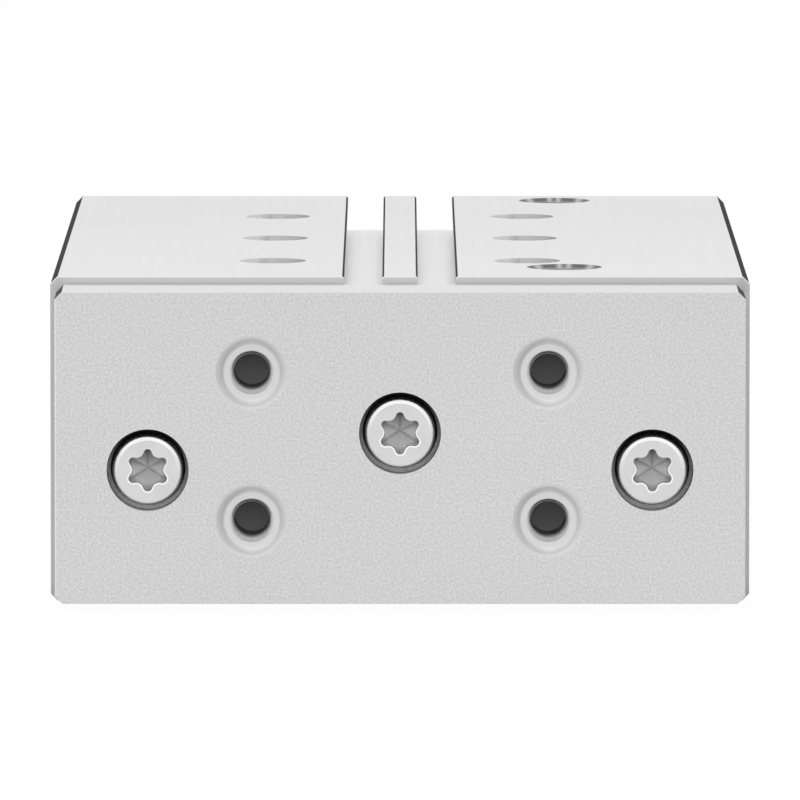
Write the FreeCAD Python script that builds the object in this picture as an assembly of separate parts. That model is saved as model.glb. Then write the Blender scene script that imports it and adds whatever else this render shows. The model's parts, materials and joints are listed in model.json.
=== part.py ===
import FreeCAD
import Part
import math
import os

# Guided pneumatic cylinder: a flat housing holds one air cylinder between two guide rods,
# and a yoke plate at the front is pushed out by the piston rod and kept straight by the guides.
# Frame: +Z up, +X right, -Y out of the front. The origin is the centre of the housing's base.
# Everything is drawn with the rod drawn in. Sizes are in millimetres, and round sizes are diameters.

# Working sizes
STROKE = 100.0
BORE = 25.0
PISTON_ROD = 10.0
GUIDE_ROD = 14.0
GUIDE_SPACING = 68.0
CYLINDER_HEIGHT = 24.0
GUIDE_HEIGHT = 19.0

# Radial clearances
SEAT_CLEARANCE = 0.02
RUN_CLEARANCE = 0.04
ROD_FLOAT = 0.3
SCREW_CLEARANCE = 0.3

# Housing section
HOUSING_WIDTH = 94.8
HOUSING_HEIGHT = 44.0
HOUSING_CHAMFER = 0.95

# Sensor slots in the housing's top
SLOT_SPACING = 10.0
SLOT_THROAT = 5.2
SLOT_INNER = 6.6
SLOT_DEPTH = 5.0
SLOT_LIP = 1.5
SLOT_BREAK = 0.25

# Tapped fastening holes, drawn at the thread's pitch diameter, with a centring recess
THREAD = 5.35
THREAD_MOUTH = 6.0
CENTRING = 9.1
CENTRING_DEPTH = 1.9
CENTRING_CORNER = 0.7
MOUNT_SPACING = 35.0
MOUNT_PITCH = 40.0
MOUNT_ROWS = 3
MOUNT_START = 28.8

# Air ports, drawn at the thread's pitch diameter
PORT_OFFSET = 22.5
PORT_THREAD = 9.15
PORT_MOUTH = 10.2
PORT_DEPTH = 9.0
DUCT = 3.0

# Cylinder ends
CAP_SEAT = 27.0
CAP_FLANGE = 3.8
FRONT_CAP_LENGTH = 14.4
REAR_NOSE = 19.0
REAR_NOSE_LENGTH = 1.4
REAR_RECESS = 15.0
REAR_RECESS_DEPTH = 1.2
SEAT_CHAMFER = 0.4
O_RING_SECTION = 1.5
O_RING_SIDE_PLAY = 0.15
CIRCLIP_INSET = 0.9
CIRCLIP_THICKNESS = 1.2
CIRCLIP_GROOVE = 28.2
CIRCLIP_WIDTH = 2.4
CIRCLIP_TAPER = 0.5
CIRCLIP_GAP = 4.2
CIRCLIP_LUG = 4.0
CIRCLIP_HOLE = 1.7
CUSHION = 18.0
CUSHION_HOLE = 12.0
CUSHION_THICKNESS = 3.0
CUSHION_PLAY = 0.1
CUSHION_EDGE = 0.6

# Bush and seal of the piston rod, in the front cap
ROD_BUSH_WALL = 1.2
ROD_BUSH_LENGTH = 7.0
ROD_SEAL_WALL = 2.8
ROD_SEAL_LENGTH = 4.0
ROD_SEAL_LIP = 0.9
ROD_SEAL_SETBACK = 0.9
ROD_SEAL_NOTCH = 1.6

# Piston: five lands with four grooves between them
PISTON_GAP = 0.2
PISTON_LAND = 1.0
PISTON_SEAL_WIDTH = 3.5
PISTON_SEAL_WALL = 2.9
PISTON_SEAL_NOTCH = 1.7
WEAR_RING_WIDTH = 2.6
WEAR_RING_WALL = 1.2
WEAR_RING_SPLIT = 1.0
MAGNET_WIDTH = 3.4
MAGNET_WALL = 2.4
MAGNET_SETBACK = 0.2
RING_SIDE_PLAY = 0.05
ROD_SOCKET_DEPTH = 2.0

# Guide bushes and wipers
GUIDE_BUSH_WALL = 2.0
GUIDE_BUSH_LENGTH = 15.0
GUIDE_BUSH_MARGIN = 2.0
GUIDE_BORE_GAP = 0.5
GUIDE_ROD_INSET = 2.0
GUIDE_ROD_CHAMFER = 1.0
WIPER_LENGTH = 3.2
WIPER_INSET = 0.8
WIPER_LIP = 1.0
CENTRE_HOLE = 3.0

# Yoke plate
YOKE_WIDTH = 93.1
YOKE_HEIGHT = 42.15
YOKE_THICKNESS = 12.6
YOKE_LIFT = 0.92
YOKE_GAP = 0.4
YOKE_CORNER = 1.0
YOKE_EDGE_BREAK = 0.07
YOKE_SPACING_X = 40.0
YOKE_SPACING_Z = 20.0
YOKE_PATTERN_HEIGHT = 22.15
YOKE_RECESS_MOUTH = 9.7
YOKE_RECESS_FLOOR = 7.5
YOKE_RECESS_DEPTH = 1.0
YOKE_RECESS_ROUND = 0.6
ROD_SEAT_DEPTH = 2.0

# Screws with a round head and a six-lobed socket
SCREW_SHANK = 6.0
SCREW_HEAD = 9.5
SCREW_HEAD_HEIGHT = 5.0
SCREW_HEAD_EDGE = 0.7
SCREW_ENGAGEMENT = 13.0
SCREW_HOLE_SPARE = 3.0
SCREW_SINK = 0.35
COUNTERBORE_GAP = 0.25
COUNTERBORE_MOUTH_GAP = 0.77
COUNTERBORE_MOUTH_DEPTH = 3.4
SOCKET_POINTS = 5.56
SOCKET_WAIST = 4.0
SOCKET_LOBE_RADIUS = 0.5
SOCKET_BREAK = 0.12
SOCKET_WALL = 2.2
SOCKET_DEPTH = 4.2
SOCKET_LOBES = 6

# Widths of the piston's grooves, front to rear, and the piston's length
PISTON_GROOVES = [PISTON_SEAL_WIDTH, WEAR_RING_WIDTH, MAGNET_WIDTH, PISTON_SEAL_WIDTH]
PISTON_LENGTH = sum(PISTON_GROOVES) + PISTON_LAND * (len(PISTON_GROOVES) + 1)

# Lengths of the two end stacks, and the housing's length that follows from them
FRONT_STACK = CIRCLIP_INSET + CIRCLIP_THICKNESS + FRONT_CAP_LENGTH + CUSHION_THICKNESS + CUSHION_PLAY
REAR_CAP_LENGTH = REAR_NOSE_LENGTH + CAP_FLANGE
REAR_STACK = CUSHION_PLAY + CUSHION_THICKNESS + REAR_CAP_LENGTH + CIRCLIP_THICKNESS + CIRCLIP_INSET
HOUSING_LENGTH = FRONT_STACK + STROKE + PISTON_LENGTH + REAR_STACK

# Places along Y, front to rear
FRONT_FACE = -HOUSING_LENGTH / 2
FRONT_CIRCLIP = FRONT_FACE + CIRCLIP_INSET
FRONT_CAP = FRONT_CIRCLIP + CIRCLIP_THICKNESS
FRONT_SHOULDER = FRONT_CAP + CAP_FLANGE
FRONT_CUSHION = FRONT_CAP + FRONT_CAP_LENGTH
PISTON_FRONT = FRONT_FACE + FRONT_STACK + STROKE
PISTON_REAR = PISTON_FRONT + PISTON_LENGTH
REAR_CUSHION = PISTON_REAR + CUSHION_PLAY
REAR_CAP = REAR_CUSHION + CUSHION_THICKNESS
REAR_SHOULDER = REAR_CAP + REAR_NOSE_LENGTH
REAR_CIRCLIP = REAR_SHOULDER + CAP_FLANGE
REAR_FACE = HOUSING_LENGTH / 2
YOKE_BACK = FRONT_FACE - YOKE_GAP
YOKE_FRONT = YOKE_BACK - YOKE_THICKNESS
ROD_SEAT = YOKE_BACK - ROD_SEAT_DEPTH
GUIDE_ROD_END = REAR_FACE - GUIDE_ROD_INSET
WIPER_FRONT = FRONT_FACE + WIPER_INSET
FRONT_BUSH = WIPER_FRONT + WIPER_LENGTH
GUIDE_SHOULDER = GUIDE_ROD_END - STROKE - GUIDE_BUSH_MARGIN
REAR_BUSH = GUIDE_SHOULDER - GUIDE_BUSH_LENGTH

# Sizes shared by pieces that fit together
CAP_DIAMETER = CAP_SEAT - 2 * SEAT_CLEARANCE
SPIGOT = BORE - 2 * SEAT_CLEARANCE
PISTON = BORE - 2 * PISTON_GAP
GUIDE_SEAT = GUIDE_ROD + 2 * (GUIDE_BUSH_WALL + SEAT_CLEARANCE + RUN_CLEARANCE)
ROD_BUSH_SEAT = PISTON_ROD + 2 * (ROD_BUSH_WALL + SEAT_CLEARANCE + RUN_CLEARANCE)
ROD_SEAL_SEAT = PISTON_ROD + 2 * (ROD_SEAL_WALL + SEAT_CLEARANCE + RUN_CLEARANCE)
COUNTERBORE = SCREW_HEAD + 2 * COUNTERBORE_GAP
COUNTERBORE_MOUTH = SCREW_HEAD + 2 * COUNTERBORE_MOUTH_GAP
COUNTERBORE_DEPTH = SCREW_SINK + SCREW_HEAD_HEIGHT
SCREW_HOLE = SCREW_SHANK + 2 * SCREW_CLEARANCE
SCREW_THREAD = THREAD - 2 * RUN_CLEARANCE
O_RING_GROOVE = O_RING_SECTION + 2 * O_RING_SIDE_PLAY
RODS = [(-GUIDE_SPACING / 2, GUIDE_HEIGHT), (0.0, CYLINDER_HEIGHT), (GUIDE_SPACING / 2, GUIDE_HEIGHT)]

UP = FreeCAD.Vector(0, 0, 1)
REARWARD = FreeCAD.Vector(0, 1, 0)


def turned(outline, x=0.0, z=CYLINDER_HEIGHT):
    """Spin an outline of (diameter, y) points about a line along Y."""
    points = [FreeCAD.Vector(x + size / 2, y, z) for size, y in outline]
    face = Part.Face(Part.makePolygon(points + points[:1]))
    return face.revolve(FreeCAD.Vector(x, 0, z), REARWARD, 360)


def turned_upright(outline, x, y):
    """Spin an outline of (diameter, z) points about a line along Z."""
    points = [FreeCAD.Vector(x + size / 2, y, z) for size, z in outline]
    face = Part.Face(Part.makePolygon(points + points[:1]))
    return face.revolve(FreeCAD.Vector(x, y, 0), UP, 360)


def rod_along(size, start, end, x=0.0, z=CYLINDER_HEIGHT):
    """A plain cylinder along Y."""
    return turned([(0, start), (size, start), (size, end), (0, end)], x, z)


def ring_along(outer, inner, start, end, x=0.0, z=CYLINDER_HEIGHT):
    """A plain ring along Y."""
    return turned([(inner, start), (outer, start), (outer, end), (inner, end)], x, z)


def cut_all(shape, tools):
    """Take every tool away from a shape in one go."""
    return shape.cut(Part.makeCompound(tools)).Solids[0]


def mirrored_end(start, end):
    """Turn a piece drawn between two Y places end for end, about its own middle."""
    middle = FreeCAD.Vector(0, (start + end) / 2, 0)
    return lambda shape: shape.mirror(middle, REARWARD)


def section_prism(corners, start, length):
    """Extrude a closed outline of (x, z) corners along Y."""
    points = [FreeCAD.Vector(x, start, z) for x, z in corners]
    return Part.Face(Part.makePolygon(points + points[:1])).extrude(REARWARD * length)


def chamfered_rectangle(half_width, bottom, top, chamfer):
    """Corners of an upright rectangle with its corners cut off, from the bottom left."""
    right = half_width - chamfer
    return [
        (-right, bottom),
        (right, bottom),
        (half_width, bottom + chamfer),
        (half_width, top - chamfer),
        (right, top),
        (-right, top),
        (-half_width, top - chamfer),
        (-half_width, bottom + chamfer),
    ]


def sensor_slot(centre):
    """The T-shaped cut of one sensor slot, past both ends of the housing."""
    top = HOUSING_HEIGHT
    over = top + SLOT_BREAK
    floor = top - SLOT_DEPTH
    lip = top - SLOT_LIP
    mouth = SLOT_THROAT / 2 + SLOT_BREAK
    right = [
        (SLOT_INNER / 2, floor),
        (SLOT_INNER / 2, lip),
        (SLOT_THROAT / 2, lip),
        (SLOT_THROAT / 2, top - SLOT_BREAK),
        (mouth, top),
        (mouth, over),
    ]
    left = [(-x, z) for x, z in reversed(right)]
    corners = [(centre + x, z) for x, z in right + left]
    return section_prism(corners, FRONT_FACE - SLOT_BREAK, HOUSING_LENGTH + 2 * SLOT_BREAK)


def tapped_outline(surface, depth, inward, mouth, floor, floor_depth):
    """Half section of a tapped hole with a recess, from an outer surface inward."""
    recess = surface + inward * floor_depth
    cone = recess + inward * (THREAD_MOUTH - THREAD) / 2
    end = surface + inward * depth
    return [
        (0, surface),
        (mouth, surface),
        (floor, recess),
        (THREAD_MOUTH, recess),
        (THREAD, cone),
        (THREAD, end),
        (0, end),
    ]


def round_edges(shape, size, in_place):
    """The circular edges of one diameter whose middle is in the right place."""
    return [
        edge
        for edge in shape.Edges
        if isinstance(edge.Curve, Part.Circle)
        and abs(edge.Curve.Radius - size / 2) < RUN_CLEARANCE
        and in_place(edge.Curve.Center)
    ]


def rounded_recess(tool, size, floor, radius):
    """Round the corner of a recess on the tool that cuts it; floor is the middle of its floor."""
    corner = round_edges(tool, size, lambda middle: middle.distanceToPoint(floor) < RUN_CLEARANCE)
    return tool.makeFillet(radius, corner)


def mounting_holes():
    """The housing's tapped through holes, with a centring recess at the top and at the base."""
    holes = []
    for row in range(MOUNT_ROWS):
        y = FRONT_FACE + MOUNT_START + row * MOUNT_PITCH
        for side in (-1, 1):
            x = side * MOUNT_SPACING / 2
            for surface, inward in ((HOUSING_HEIGHT, -1), (0.0, 1)):
                half = HOUSING_HEIGHT / 2
                outline = tapped_outline(surface, half, inward, CENTRING, CENTRING, CENTRING_DEPTH)
                floor = FreeCAD.Vector(x, y, surface + inward * CENTRING_DEPTH)
                holes.append(rounded_recess(turned_upright(outline, x, y), CENTRING, floor, CENTRING_CORNER))
    return holes


def air_port(y):
    """One port in the top, and the slanted duct from its floor to the cylinder."""
    floor = HOUSING_HEIGHT - PORT_DEPTH
    outline = [
        (0, HOUSING_HEIGHT),
        (PORT_MOUTH, HOUSING_HEIGHT),
        (PORT_THREAD, HOUSING_HEIGHT - (PORT_MOUTH - PORT_THREAD) / 2),
        (PORT_THREAD, floor),
        (0, floor),
    ]
    port = turned_upright(outline, PORT_OFFSET, y)
    start = FreeCAD.Vector(PORT_OFFSET - PORT_THREAD / 4, y, floor + DUCT / 2)
    way = FreeCAD.Vector(0, y, CYLINDER_HEIGHT) - start
    duct = Part.makeCylinder(DUCT / 2, way.Length - BORE / 4, start, way)
    return [port, duct]


def cylinder_bore():
    """The cylinder, its two cap seats and the circlip grooves, open at both ends."""
    outline = [
        (0, FRONT_FACE),
        (CAP_SEAT + 2 * SEAT_CHAMFER, FRONT_FACE),
        (CAP_SEAT, FRONT_FACE + SEAT_CHAMFER),
        (CAP_SEAT, FRONT_CIRCLIP),
        (CIRCLIP_GROOVE, FRONT_CIRCLIP),
        (CIRCLIP_GROOVE, FRONT_CAP),
        (CAP_SEAT, FRONT_CAP),
        (CAP_SEAT, FRONT_SHOULDER),
        (BORE, FRONT_SHOULDER),
        (BORE, REAR_SHOULDER),
        (CAP_SEAT, REAR_SHOULDER),
        (CAP_SEAT, REAR_CIRCLIP),
        (CIRCLIP_GROOVE, REAR_CIRCLIP),
        (CIRCLIP_GROOVE, REAR_CIRCLIP + CIRCLIP_THICKNESS),
        (CAP_SEAT, REAR_CIRCLIP + CIRCLIP_THICKNESS),
        (CAP_SEAT, REAR_FACE - SEAT_CHAMFER),
        (CAP_SEAT + 2 * SEAT_CHAMFER, REAR_FACE),
        (0, REAR_FACE),
    ]
    return turned(outline)


def guide_bore(x):
    """One guide bore: a seat for wiper and bushes, then a clearance bore out of the rear."""
    clear = GUIDE_ROD + 2 * GUIDE_BORE_GAP
    outline = [
        (0, FRONT_FACE),
        (GUIDE_SEAT + 2 * SEAT_CHAMFER, FRONT_FACE),
        (GUIDE_SEAT, FRONT_FACE + SEAT_CHAMFER),
        (GUIDE_SEAT, GUIDE_SHOULDER),
        (clear, GUIDE_SHOULDER),
        (clear, REAR_FACE - SEAT_CHAMFER),
        (clear + 2 * SEAT_CHAMFER, REAR_FACE),
        (0, REAR_FACE),
    ]
    return turned(outline, x, GUIDE_HEIGHT)


def housing():
    """The extruded housing with its bores, slots, ports and fastening holes."""
    corners = chamfered_rectangle(HOUSING_WIDTH / 2, 0.0, HOUSING_HEIGHT, HOUSING_CHAMFER)
    block = section_prism(corners, FRONT_FACE, HOUSING_LENGTH)
    tools = [sensor_slot(side * SLOT_SPACING / 2) for side in (-1, 1)]
    tools.append(cylinder_bore())
    tools += [guide_bore(side * GUIDE_SPACING / 2) for side in (-1, 1)]
    tools += mounting_holes()
    for cushion in (FRONT_CUSHION, REAR_CUSHION):
        tools += air_port(cushion + CUSHION_THICKNESS / 2)
    for tool in tools:
        block = block.cut(tool)
    return block.Solids[0]


def yoke_plate():
    """The front plate: stepped screw counterbores, rod seats at the back, and four tapped holes."""
    top = YOKE_LIFT + YOKE_HEIGHT
    corners = chamfered_rectangle(YOKE_WIDTH / 2, YOKE_LIFT, top, YOKE_CORNER)
    plate = section_prism(corners, YOKE_FRONT, YOKE_THICKNESS)
    rim = [edge for edge in plate.Edges if max(p.Point.y for p in edge.Vertexes) < YOKE_BACK]
    plate = plate.makeChamfer(YOKE_EDGE_BREAK, rim)
    tools = []
    for x, z in RODS:
        guide = x != 0.0
        seat = GUIDE_ROD + 2 * SEAT_CLEARANCE if guide else PISTON_ROD + 2 * ROD_FLOAT
        head = YOKE_FRONT + COUNTERBORE_DEPTH
        outline = [
            (0, YOKE_FRONT),
            (COUNTERBORE_MOUTH, YOKE_FRONT),
            (COUNTERBORE_MOUTH, YOKE_FRONT + COUNTERBORE_MOUTH_DEPTH),
            (COUNTERBORE, YOKE_FRONT + COUNTERBORE_MOUTH_DEPTH),
            (COUNTERBORE, head),
            (SCREW_HOLE, head),
            (SCREW_HOLE, ROD_SEAT),
            (seat, ROD_SEAT),
            (seat, YOKE_BACK),
            (0, YOKE_BACK),
        ]
        tools.append(turned(outline, x, z))
    for side_x in (-1, 1):
        for side_z in (-1, 1):
            x = side_x * YOKE_SPACING_X / 2
            z = YOKE_PATTERN_HEIGHT + side_z * YOKE_SPACING_Z / 2
            sizes = (YOKE_RECESS_MOUTH, YOKE_RECESS_FLOOR, YOKE_RECESS_DEPTH)
            tool = turned(tapped_outline(YOKE_FRONT, YOKE_THICKNESS, 1, *sizes), x, z)
            floor = FreeCAD.Vector(x, YOKE_FRONT + YOKE_RECESS_DEPTH, z)
            tools.append(rounded_recess(tool, YOKE_RECESS_FLOOR, floor, YOKE_RECESS_ROUND))
    plate = cut_all(plate, tools)
    rims = round_edges(plate, YOKE_RECESS_MOUTH, lambda middle: abs(middle.y - YOKE_FRONT) < RUN_CLEARANCE)
    return plate.makeFillet(YOKE_RECESS_ROUND, rims).Solids[0]


def socket_spot(y, x, z, distance, angle):
    """A point of the socket, by its distance and angle from the screw's axis."""
    return FreeCAD.Vector(x + distance * math.sin(angle), y, z + distance * math.cos(angle))


def socket_wire(y, x, z, wider=0.0):
    """The six-lobed outline: round lobes joined by tangent hollow arcs, one lobe at the top."""
    lobe = SOCKET_LOBE_RADIUS + wider
    lobe_way = SOCKET_POINTS / 2 - SOCKET_LOBE_RADIUS
    half_turn = math.pi / SOCKET_LOBES
    lean = lobe_way * math.cos(half_turn)
    waist = SOCKET_WAIST / 2 + wider
    hollow = (lobe_way**2 + waist**2 - 2 * lean * waist - lobe**2) / (2 * (lobe - waist + lean))
    reach = waist + hollow

    def spot(distance, angle):
        return socket_spot(y, x, z, distance, angle)

    edges = []
    for number in range(SOCKET_LOBES):
        angle = 2 * half_turn * number
        centre = spot(lobe_way, angle)
        before = centre + (spot(reach, angle - half_turn) - centre) * (lobe / (lobe + hollow))
        after = centre + (spot(reach, angle + half_turn) - centre) * (lobe / (lobe + hollow))
        next_centre = spot(lobe_way, angle + 2 * half_turn)
        onward = spot(reach, angle + half_turn) - next_centre
        arrival = next_centre + onward * (lobe / (lobe + hollow))
        edges.append(Part.Arc(before, spot(lobe_way + lobe, angle), after).toShape())
        edges.append(Part.Arc(after, spot(waist, angle + half_turn), arrival).toShape())
    return Part.Wire(edges)


def socket(head_top, x, z):
    """The socket's cut: six-lobed walls with broken edges, and a floor of twelve flat facets."""
    half_turn = math.pi / SOCKET_LOBES
    growth = SOCKET_DEPTH / (SOCKET_DEPTH - SOCKET_WALL)
    corners = []
    for number in range(SOCKET_LOBES):
        lobe_angle = 2 * half_turn * number
        corners.append(socket_spot(head_top, x, z, growth * SOCKET_POINTS / 2, lobe_angle))
        corners.append(socket_spot(head_top, x, z, growth * SOCKET_WAIST / 2, lobe_angle + half_turn))
    point = Part.Vertex(FreeCAD.Vector(x, head_top + SOCKET_DEPTH, z))
    facets = Part.makeLoft([Part.makePolygon(corners + corners[:1]), point], True, True)
    walls = Part.Face(socket_wire(head_top, x, z)).extrude(REARWARD * SOCKET_DEPTH)
    mouth = [socket_wire(head_top, x, z, SOCKET_BREAK), socket_wire(head_top + SOCKET_BREAK, x, z)]
    return walls.common(facets).fuse(Part.makeLoft(mouth, True, True))


def screw(head_top, grip, x, z):
    """A screw whose head faces the front; grip is the length between its head and the thread."""
    under_head = head_top + SCREW_HEAD_HEIGHT
    thread_start = under_head + grip
    tip = thread_start + SCREW_ENGAGEMENT
    head = rod_along(SCREW_HEAD, head_top, under_head, x, z)
    rim = [edge for edge in head.Edges if edge.BoundBox.YMax < head_top + SCREW_HEAD_EDGE]
    head = head.makeFillet(SCREW_HEAD_EDGE, rim)
    lead = SCREW_THREAD - 2 * SCREW_HEAD_EDGE
    shank_outline = [
        (0, under_head),
        (SCREW_SHANK, under_head),
        (SCREW_SHANK, thread_start),
        (SCREW_THREAD, thread_start),
        (SCREW_THREAD, tip - SCREW_HEAD_EDGE),
        (lead, tip),
        (0, tip),
    ]
    blank = head.fuse(turned(shank_outline, x, z))
    return blank.cut(socket(head_top, x, z)).removeSplitter().Solids[0]


def yoke_screw(x, z):
    """A screw that pulls one rod into its seat in the yoke plate."""
    head_top = YOKE_FRONT + SCREW_SINK
    return screw(head_top, ROD_SEAT - head_top - SCREW_HEAD_HEIGHT, x, z)


def thread_hole(start, inward):
    """Half section of the tapped hole in a rod's end, from the end face inward."""
    depth = SCREW_ENGAGEMENT + SCREW_HOLE_SPARE
    end = start + inward * depth
    return [(0, start), (THREAD, start), (THREAD, end), (0, end + inward * THREAD / 4)]


def guide_rod(x):
    """A ground guide rod, tapped at the yoke, with a centre hole in its chamfered rear end."""
    end = GUIDE_ROD_END
    outline = [
        (0, ROD_SEAT),
        (GUIDE_ROD - 2 * SEAT_CHAMFER, ROD_SEAT),
        (GUIDE_ROD, ROD_SEAT + SEAT_CHAMFER),
        (GUIDE_ROD, end - GUIDE_ROD_CHAMFER),
        (GUIDE_ROD - 2 * GUIDE_ROD_CHAMFER, end),
        (CENTRE_HOLE, end),
        (0, end - CENTRE_HOLE),
    ]
    rod = turned(outline, x, GUIDE_HEIGHT)
    return cut_all(rod, [turned(thread_hole(ROD_SEAT, 1), x, GUIDE_HEIGHT)])


def piston_rod():
    """The piston rod, tapped at both ends, from the yoke plate to its socket in the piston."""
    end = PISTON_FRONT + ROD_SOCKET_DEPTH
    outline = [
        (0, ROD_SEAT),
        (PISTON_ROD - 2 * SEAT_CHAMFER, ROD_SEAT),
        (PISTON_ROD, ROD_SEAT + SEAT_CHAMFER),
        (PISTON_ROD, end - SEAT_CHAMFER),
        (PISTON_ROD - 2 * SEAT_CHAMFER, end),
        (0, end),
    ]
    return cut_all(turned(outline), [turned(thread_hole(ROD_SEAT, 1)), turned(thread_hole(end, -1))])


def piston_groove(number):
    """Start and end of one of the piston's grooves along Y."""
    start = PISTON_FRONT + PISTON_LAND * (number + 1) + sum(PISTON_GROOVES[:number])
    return start, start + PISTON_GROOVES[number]


def piston():
    """The piston: four grooves outside, the rod's socket in front and the screw's seat behind."""
    seal_floor = BORE - 2 * (PISTON_SEAL_WALL + RUN_CLEARANCE + SEAT_CLEARANCE)
    wear_floor = BORE - 2 * (WEAR_RING_WALL + RUN_CLEARANCE + SEAT_CLEARANCE)
    magnet_floor = PISTON - 2 * (MAGNET_WALL + MAGNET_SETBACK + SEAT_CLEARANCE)
    body = rod_along(PISTON, PISTON_FRONT, PISTON_REAR)
    tools = []
    for number, floor in enumerate([seal_floor, wear_floor, magnet_floor, seal_floor]):
        tools.append(ring_along(BORE, floor, *piston_groove(number)))
    tools.append(rod_along(PISTON_ROD + 2 * SEAT_CLEARANCE, PISTON_FRONT, PISTON_FRONT + ROD_SOCKET_DEPTH))
    tools.append(rod_along(SCREW_HOLE, PISTON_FRONT, PISTON_REAR))
    tools.append(rod_along(COUNTERBORE, PISTON_REAR - COUNTERBORE_DEPTH, PISTON_REAR))
    return cut_all(body, tools)


def piston_screw():
    """The screw that holds the piston on its rod, with its head at the rear."""
    seat = PISTON_REAR - COUNTERBORE_DEPTH
    grip = seat - PISTON_FRONT - ROD_SOCKET_DEPTH
    drawn = screw(seat - SCREW_HEAD_HEIGHT, grip, 0.0, CYLINDER_HEIGHT)
    return drawn.mirror(FreeCAD.Vector(0, seat, 0), REARWARD)


def piston_seal(number, turn_round):
    """A lip seal in one of the piston's grooves, with its notch towards the air it holds."""
    start, end = piston_groove(number)
    front = start + RING_SIDE_PLAY
    back = end - RING_SIDE_PLAY
    outer = BORE - 2 * RUN_CLEARANCE
    inner = outer - 2 * PISTON_SEAL_WALL
    middle = (outer + inner) / 2
    lip = PISTON_SEAL_WALL / 4
    outline = [
        (inner, front),
        (inner + 2 * lip, front),
        (middle, front + PISTON_SEAL_NOTCH),
        (outer - 2 * lip, front),
        (outer, front),
        (outer - 2 * lip, back - lip),
        (outer - 2 * lip, back),
        (inner, back),
    ]
    seal = turned(outline)
    return mirrored_end(start, end)(seal) if turn_round else seal


def piston_wear_ring():
    """The split guide ring of the piston."""
    start, end = piston_groove(1)
    outer = BORE - 2 * RUN_CLEARANCE
    ring = ring_along(outer, outer - 2 * WEAR_RING_WALL, start + RING_SIDE_PLAY, end - RING_SIDE_PLAY)
    corner = FreeCAD.Vector(-WEAR_RING_SPLIT / 2, start, CYLINDER_HEIGHT)
    return cut_all(ring, [Part.makeBox(WEAR_RING_SPLIT, end - start, BORE, corner)])


def piston_magnet():
    """The magnet ring that the sensors in the slots see."""
    start, end = piston_groove(2)
    outer = PISTON - 2 * MAGNET_SETBACK
    return ring_along(outer, outer - 2 * MAGNET_WALL, start + RING_SIDE_PLAY, end - RING_SIDE_PLAY)


def o_ring(seat, middle):
    """An O-ring that lies between its groove's floor and the wall it seals against."""
    radius = O_RING_SECTION / 2
    centre = FreeCAD.Vector(0, middle, CYLINDER_HEIGHT)
    return Part.makeTorus(seat / 2 - radius, radius - SEAT_CLEARANCE, centre, REARWARD)


def o_ring_groove(seat, middle):
    """The cut for an O-ring in the outside of a cap."""
    half = O_RING_GROOVE / 2
    return ring_along(seat, seat - 2 * O_RING_SECTION, middle - half, middle + half)


def front_o_ring_middle():
    """Where the front cap's O-ring lies along Y, midway along the spigot."""
    return (FRONT_SHOULDER + FRONT_CUSHION) / 2


def rear_o_ring_middle():
    """Where the rear cap's O-ring lies along Y, midway along the flange."""
    return (REAR_SHOULDER + REAR_CIRCLIP) / 2


def rod_seal_place():
    """Start and end of the rod seal's groove along Y."""
    start = FRONT_CAP + ROD_SEAL_SETBACK
    return start, start + ROD_SEAL_LENGTH


def front_bearing_cap():
    """The front cap, with a flange on the shoulder, and seats for the rod's bush and seal."""
    outline = [
        (PISTON_ROD + 2 * ROD_FLOAT, FRONT_CAP),
        (CAP_DIAMETER - 2 * SEAT_CHAMFER, FRONT_CAP),
        (CAP_DIAMETER, FRONT_CAP + SEAT_CHAMFER),
        (CAP_DIAMETER, FRONT_SHOULDER),
        (SPIGOT, FRONT_SHOULDER),
        (SPIGOT, FRONT_CUSHION - SEAT_CHAMFER),
        (SPIGOT - 2 * SEAT_CHAMFER, FRONT_CUSHION),
        (PISTON_ROD + 2 * ROD_FLOAT, FRONT_CUSHION),
    ]
    bush_seat = rod_along(ROD_BUSH_SEAT, FRONT_CUSHION - ROD_BUSH_LENGTH, FRONT_CUSHION)
    seal_seat = rod_along(ROD_SEAL_SEAT, *rod_seal_place())
    groove = o_ring_groove(BORE, front_o_ring_middle())
    return cut_all(turned(outline), [bush_seat, seal_seat, groove])


def rod_bush():
    """The plain bush that the piston rod runs in."""
    inner = PISTON_ROD + 2 * RUN_CLEARANCE
    outer = ROD_BUSH_SEAT - 2 * SEAT_CLEARANCE
    return ring_along(outer, inner, FRONT_CUSHION - ROD_BUSH_LENGTH, FRONT_CUSHION)


def rod_seal():
    """The rod's seal and wiper in one ring, with a lip at each end of its inside."""
    start, end = rod_seal_place()
    front = start + RING_SIDE_PLAY
    back = end - RING_SIDE_PLAY
    inner = PISTON_ROD + 2 * RUN_CLEARANCE
    outer = ROD_SEAL_SEAT - 2 * SEAT_CLEARANCE
    waist = inner + ROD_SEAL_LIP
    middle = (inner + outer) / 2
    outline = [
        (inner, front),
        (outer, front),
        (outer, back),
        (middle + ROD_SEAL_LIP, back),
        (middle, back - ROD_SEAL_NOTCH),
        (waist, back),
        (inner, back),
        (waist, back - ROD_SEAL_LIP),
        (waist, front + ROD_SEAL_LIP),
    ]
    return turned(outline)


def cushion_ring(start):
    """A soft end stop for the piston, with its edges taken off."""
    end = start + CUSHION_THICKNESS
    outline = [
        (CUSHION_HOLE, start),
        (CUSHION - 2 * CUSHION_EDGE, start),
        (CUSHION, start + CUSHION_EDGE),
        (CUSHION, end - CUSHION_EDGE),
        (CUSHION - 2 * CUSHION_EDGE, end),
        (CUSHION_HOLE, end),
    ]
    return turned(outline)


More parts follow.
